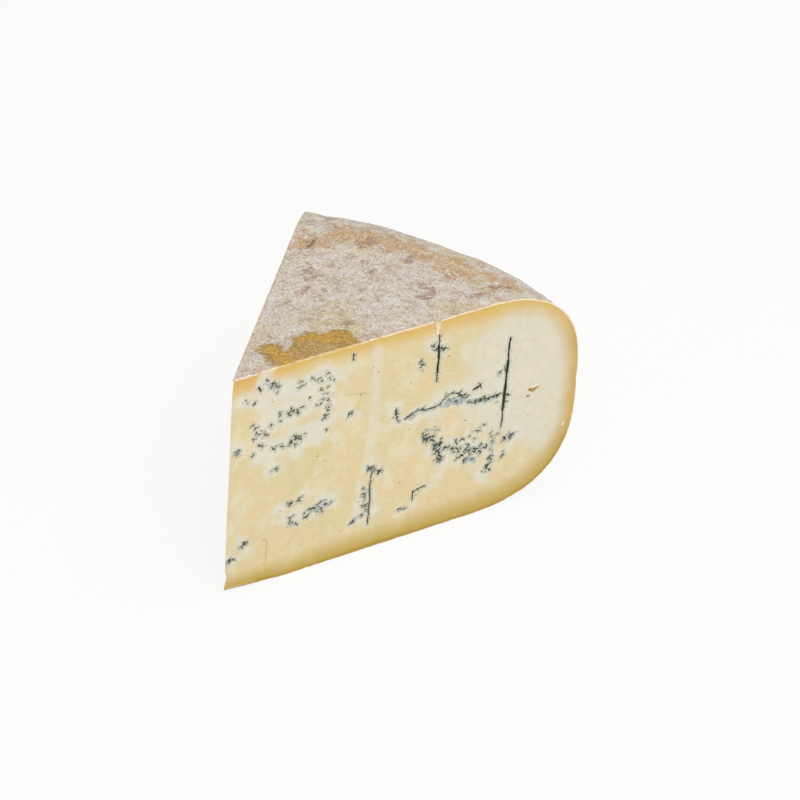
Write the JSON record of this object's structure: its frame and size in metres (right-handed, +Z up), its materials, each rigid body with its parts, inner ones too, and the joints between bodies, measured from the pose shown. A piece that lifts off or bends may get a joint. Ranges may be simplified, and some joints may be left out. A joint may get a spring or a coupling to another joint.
{
  "type": "blue cheese wedge",
  "caption": "Hand-cut wedge of natural-rind blue cheese with two flat cut faces, rounded outer rind and a flat base to rest on.",
  "frame": {"origin": "bottom centre of the wedge's box, on the surface it rests on", "axes": "+X from the wedge's point towards the rind along the front cut face, +Y away from the front cut face, +Z up"},
  "size_m": [0.1648, 0.1198, 0.0976],
  "materials": {
    "cheese": null
  },
  "bodies": {
    "root": {"cheese_wedge": "cheese"}
  },
  "joints": []
}
